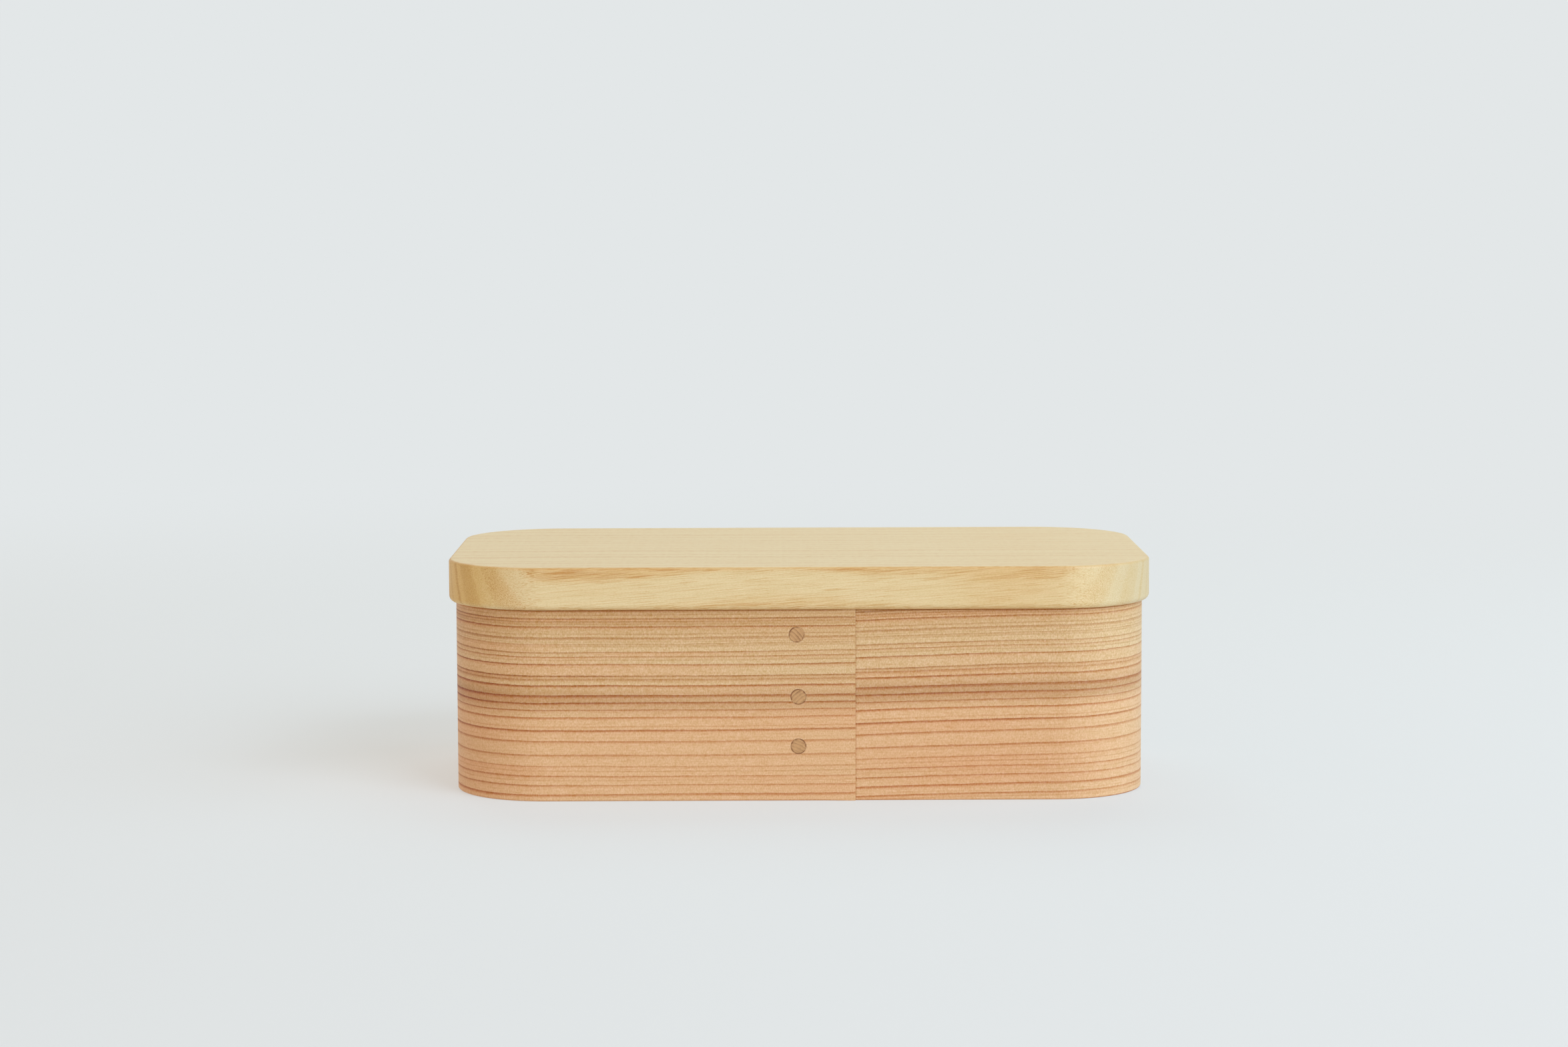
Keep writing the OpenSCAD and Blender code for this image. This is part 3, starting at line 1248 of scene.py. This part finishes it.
@dataclass
class LapDowels:
    """Three dowels through the lap, sanded flush, each set with its grain at its own angle."""

    plan: Plan
    finish: DowelWood
    gap: float = 0.03 * MM
    edge: float = 0.05 * MM
    lean: float = 0.02 * MM
    flat_share: float = 0.5
    sides: int = 64
    dowels: tuple[DowelSeat, ...] = (
        DowelSeat("lap_dowel_lower", -60, -25, 0.3 * MM),
        DowelSeat("lap_dowel_middle", 215, 40, 1.4 * MM),
        DowelSeat("lap_dowel_upper", -30, -45, 2.6 * MM),
    )

    def build(self) -> list[bpy.types.Object]:
        """Builds and dresses the dowels, from the lowest up."""
        return [self._dowel(seat) for seat in self.dowels]

    def _dowel(self, seat: DowelSeat) -> bpy.types.Object:
        """Builds one dowel inside its CAD node's box, pressed to one side of its bore.

        Args:
            seat: How it sits.

        Returns:
            The finished piece.
        """
        low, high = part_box(seat.node)
        side = math.radians(seat.lean_degrees)
        middle = (low + high) / 2 + Vector((math.cos(side), 0, math.sin(side))) * self.lean
        radius = self.plan.bore_r - self.gap
        flat, face, edge = self.flat_share * radius, radius - self.edge, self.edge
        profile = [Mark(flat, low.y), Mark(face, low.y, 1.0), Mark(radius, low.y + edge, 1.0)]
        profile += [Mark(radius, high.y - edge, 1.0), Mark(face, high.y, 1.0), Mark(flat, high.y)]
        piece = to_object(f"{seat.node}_peg", skin([self._circle(middle, mark) for mark in profile]))
        set_grain(piece, lambda co: self._end_grain(co - middle, seat, co.y))
        settle(piece, Body.BOX, seat.node, self.finish)
        return piece

    @staticmethod
    def _end_grain(off: Vector, seat: DowelSeat, along: float) -> tuple[float, float, float]:
        """Turns a point of a dowel to that dowel's own grain.

        Args:
            off: The point's offset from the dowel's axis.
            seat: How the dowel sits.
            along: Place along the dowel.

        Returns:
            Metres along the fibres, through the dowel and across its rings.
        """
        angle = math.radians(seat.grain_degrees)
        through = off.x * math.cos(angle) + off.z * math.sin(angle)
        across = off.z * math.cos(angle) - off.x * math.sin(angle)
        return along, through, across + seat.offset

    def _circle(self, middle: Vector, mark: Mark) -> list[Spot]:
        """Gives a ring of spots round a dowel's axis.

        Args:
            middle: Point of the axis.
            mark: Radius and place along the axis.

        Returns:
            The spots in order.
        """
        spots = []
        for i in range(self.sides):
            angle = 2 * math.pi * i / self.sides
            at = Vector((middle.x + mark.u * math.cos(angle), mark.v, middle.z + mark.u * math.sin(angle)))
            spots.append(Spot(at, mark.edge))
        return spots


@dataclass
class CarvedLid:
    """The thick lid: rounded edges, a plug that drops into the band and a hollow inside it."""

    plan: Plan
    finish: PaleHardwood
    top_r: float = 0.8 * MM
    low_r: float = 1.5 * MM
    plug_inset: float = 5.1 * MM
    plug_bevel: float = 0.6 * MM
    rim: float = 6 * MM
    hollow_rise: float = 5 * MM
    cove: float = 2.5 * MM
    flat_inset: float = 6 * MM

    def profile(self) -> list[Mark]:
        """Draws the lid's edge from the flat of its top round to the hollow's ceiling.

        Returns:
            Points of inset and height.
        """
        out, seat, top = -self.plan.overhang, self.plan.band_top, self.plan.lid_top
        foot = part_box("lid")[0].z
        hollow = self.plug_inset + self.rim
        ceiling = seat + self.hollow_rise
        points = [Mark(out + self.flat_inset, top)]
        points += arc((out + self.top_r, top - self.top_r), self.top_r, 90, 180)
        points += arc((out + self.low_r, seat + self.low_r), self.low_r, 180, 270)
        points += [Mark(self.plug_inset, seat), Mark(self.plug_inset, foot + self.plug_bevel)]
        points += [Mark(self.plug_inset + self.plug_bevel, foot), Mark(hollow - self.plug_bevel, foot)]
        points += [Mark(hollow, foot + self.plug_bevel)]
        points += arc((hollow + self.cove, ceiling - self.cove), self.cove, 180, 90)
        return points

    def build(self) -> bpy.types.Object:
        """Builds and dresses the lid.

        Returns:
            The finished piece.
        """
        piece = to_object("carved_lid", skin(self.plan.loops(self.profile())))
        set_grain(piece, flat_board)
        settle(piece, Body.LID, "lid", self.finish)
        return piece


@dataclass
class BaseBoard:
    """The cedar board that closes the foot of the band."""

    plan: Plan
    finish: Cedar
    clearance: float = 0.1 * MM
    bevel: float = 0.5 * MM
    flat_inset: float = 4 * MM

    def build(self) -> bpy.types.Object:
        """Builds and dresses the board.

        Returns:
            The finished piece.
        """
        inset = self.plan.wall - self.plan.rebate + self.clearance
        flat = inset + self.flat_inset
        low, high = self.plan.base_low, self.plan.base_high
        profile = [Mark(flat, low), Mark(inset + self.bevel, low), Mark(inset, low + self.bevel)]
        profile += [Mark(inset, high), Mark(flat, high)]
        piece = to_object("cedar_base_board", skin(self.plan.loops(profile)))
        set_grain(piece, flat_board)
        settle(piece, Body.BOX, "base_board", self.finish)
        return piece


@dataclass
class Divider:
    """The loose cedar board that parts the box."""

    finish: Cedar
    corner_r: float = 4 * MM
    corner_steps: int = 10
    edge_r: float = 0.9 * MM

    def build(self) -> bpy.types.Object:
        """Builds and dresses the divider.

        Returns:
            The finished piece.
        """
        low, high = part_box("divider")
        rings = []
        for inset, x, edge in self.edge_profile(low.x, high.x):
            r = self.corner_r - inset
            half = high.y - inset
            top = high.z - inset
            outline = [Mark(-half, low.z), Mark(half, low.z)]
            outline += arc((half - r, top - r), r, 0, 90, self.corner_steps)
            outline += arc((-half + r, top - r), r, 90, 180, self.corner_steps)
            rings.append([Spot(Vector((x, mark.u, mark.v)), edge) for mark in outline])
        piece = to_object("cedar_divider", skin(rings))
        set_grain(piece, upright_board)
        settle(piece, Body.DIVIDER, "divider", self.finish)
        return piece

    def edge_profile(self, low: float, high: float) -> list[Mark]:
        """Rounds the board's edge from one face to the other.

        Args:
            low: Place of the left face.
            high: Place of the right face.

        Returns:
            Points of inset and place through the board.
        """
        r = self.edge_r
        quarter = arc((0, 0), r, 0, 90)
        near = [Mark(r - v, low + r - u, edge) for u, v, edge in quarter]
        far = [Mark(r - v, high - r + u, edge) for u, v, edge in reversed(quarter)]
        return near + far


def direction(azimuth: float, elevation: float) -> Vector:
    """Gives the way from the box to a place round it.

    Args:
        azimuth: Degrees to the right of straight in front.
        elevation: Degrees above the floor.

    Returns:
        A vector of length 1.
    """
    turn, climb = math.radians(azimuth), math.radians(elevation)
    flat = math.cos(climb)
    return Vector((math.sin(turn) * flat, -math.cos(turn) * flat, math.sin(climb)))


@dataclass(frozen=True)
class Softbox:
    """A large soft lamp that faces the box, at angles in degrees and a distance in metres."""

    name: str
    azimuth: float
    elevation: float
    distance: float
    size: float
    level: float
    tone: Tone

    def hang(self) -> None:
        """Adds the lamp, bright enough to light a white sheet that faces it to its level."""
        lamp = bpy.data.lights.new(self.name, "AREA")
        lamp.color = self.tone.linear()[:3]
        lamp.shape = "SQUARE"
        lamp.size = self.size
        lamp.energy = self.level * math.pi**2 * self.distance**2
        piece = bpy.data.objects.new(self.name, lamp)
        out = direction(self.azimuth, self.elevation)
        piece.location = out * self.distance
        piece.rotation_euler = out.to_track_quat("Z", "Y").to_euler()
        bpy.context.scene.collection.objects.link(piece)


@dataclass
class Studio:
    """Pale floor, soft light and the camera."""

    backdrop: Tone = Tone(227, 231, 232)
    paper: Tone = Tone(240, 244, 246)
    paper_roughness: float = 0.9
    paper_gloss: float = 0.1
    floor_r: float = 6.0
    floor_drop: float = 0.05 * MM
    floor_sides: int = 96
    fade_reach: Span = Span(0.3, 0.9)
    fade_least: float = 0.55
    warm: Tone = Tone(255, 218, 178)
    warm_level: float = 0.78
    lamps: tuple[Softbox, ...] = (
        Softbox("window", 82, 26, distance=1.3, size=1.2, level=0.5, tone=Tone(207, 236, 255)),
        Softbox("front", 38, 30, distance=3.0, size=1.8, level=0.7, tone=Tone(222, 238, 255)),
        Softbox("rear", 180, 50, distance=1.6, size=1.2, level=0.28, tone=Tone(214, 247, 255)),
    )
    photo_width_px: float = 2349.0
    focal_px: float = 5256.0
    sensor: float = 36.0
    distance: float = 935.2 * MM
    elevation: float = 5.593
    yaw: float = -0.305
    roll: float = math.radians(-0.18)
    aim: Vector = field(default_factory=lambda: Vector((-3.75, 0, 66.06)) * MM)

    def build(self) -> None:
        """Sets up the floor, the world, the lamps and the camera."""
        self._floor()
        self._world()
        for lamp in self.lamps:
            lamp.hang()
        self._camera()
        bpy.context.scene.view_settings.view_transform = "Standard"

    def _floor(self) -> None:
        """Lays a round paper floor that turns into the plain backdrop colour away from the box."""
        mesh = bmesh.new()
        bmesh.ops.create_circle(mesh, cap_ends=True, segments=self.floor_sides, radius=self.floor_r)
        bmesh.ops.translate(mesh, verts=mesh.verts, vec=(0, 0, -self.floor_drop))
        floor = to_object("floor", mesh)
        made = bpy.data.materials.new("paper")
        made.use_nodes = True
        graph = Graph(made.node_tree)
        place = graph.get("ShaderNodeTexCoord", output="Object")
        reach = graph.get("ShaderNodeVectorMath", {"operation": "LENGTH"}, {0: place}, output="Value")
        sockets = {
            "Base Color": self.paper.linear(),
            "Roughness": self.paper_roughness,
            "Specular IOR Level": self.paper_gloss,
        }
        paper = graph.get("ShaderNodeBsdfPrincipled", inputs=sockets)
        plain = graph.get("ShaderNodeEmission", inputs={"Color": self.backdrop.linear()})
        fade = graph.smooth(reach, *self.fade_reach) * (1 - self.fade_least) + self.fade_least
        shader = graph.get("ShaderNodeMixShader", inputs={0: fade, 1: paper, 2: plain})
        graph.node("ShaderNodeOutputMaterial", inputs={"Surface": shader})
        floor.data.materials.append(made)

    def _world(self) -> None:
        """Gives warm bounced light, strongest from the left, in front of a plain backdrop."""
        world = bpy.data.worlds.new("studio")
        world.use_nodes = True
        bpy.context.scene.world = world
        graph = Graph(world.node_tree)
        right = graph.split(graph.get("ShaderNodeTexCoord", output="Generated"))[0]
        bounce = graph.mix(graph.smooth(right, 1.0, -1.0), Tone(0, 0, 0), self.warm)
        path = graph.node("ShaderNodeLightPath")
        rays = ("Is Camera Ray", "Is Glossy Ray", "Is Transmission Ray")
        camera, glossy, transmitted = (Value(graph, path.outputs[ray]) for ray in rays)
        light = graph.get("ShaderNodeBackground", inputs={"Color": bounce, "Strength": self.warm_level})
        plain = graph.get("ShaderNodeBackground", inputs={"Color": self.backdrop.linear(), "Strength": 1.0})
        seen = camera + glossy + transmitted
        shader = graph.get("ShaderNodeMixShader", inputs={0: seen, 1: light, 2: plain})
        graph.node("ShaderNodeOutputWorld", inputs={"Surface": shader})

    def _camera(self) -> None:
        """Sets the camera at the photograph's viewpoint."""
        data = bpy.data.cameras.new("camera")
        data.sensor_width = self.sensor
        data.lens = self.focal_px * self.sensor / self.photo_width_px
        camera = bpy.data.objects.new("camera", data)
        back = direction(self.yaw, self.elevation)
        right = (-back).cross(Vector((0, 0, 1))).normalized()
        up = right.cross(-back)
        tilted = right * math.cos(self.roll) + up * math.sin(self.roll)
        upright = up * math.cos(self.roll) - right * math.sin(self.roll)
        turn = Matrix((tilted, upright, back)).transposed().to_4x4()
        camera.matrix_world = Matrix.Translation(self.aim + back * self.distance) @ turn
        bpy.context.scene.collection.objects.link(camera)
        bpy.context.scene.camera = camera


def main() -> None:
    """Builds the studio and every piece of the box, in order."""
    logging.basicConfig(level=logging.INFO, format="%(name)s: %(message)s")
    Studio().build()
    plan = Plan()
    strip = StripCedar("band_cedar", strip_turn=plan.strip_turn / MM, lap_half=BentBand.lap_len / 2 / MM)
    BentBand(plan, strip).build()
    LapDowels(plan, DowelWood("dowel_wood", roughness=0.55)).build()
    BaseBoard(plan, Cedar("base_cedar", ring_gap=4.2, seed=4.0)).build()
    Divider(Cedar("divider_cedar", ring_gap=3.4, seed=9.0)).build()
    CarvedLid(plan, PaleHardwood("lid_wood")).build()


if __name__ == "__main__":
    main()
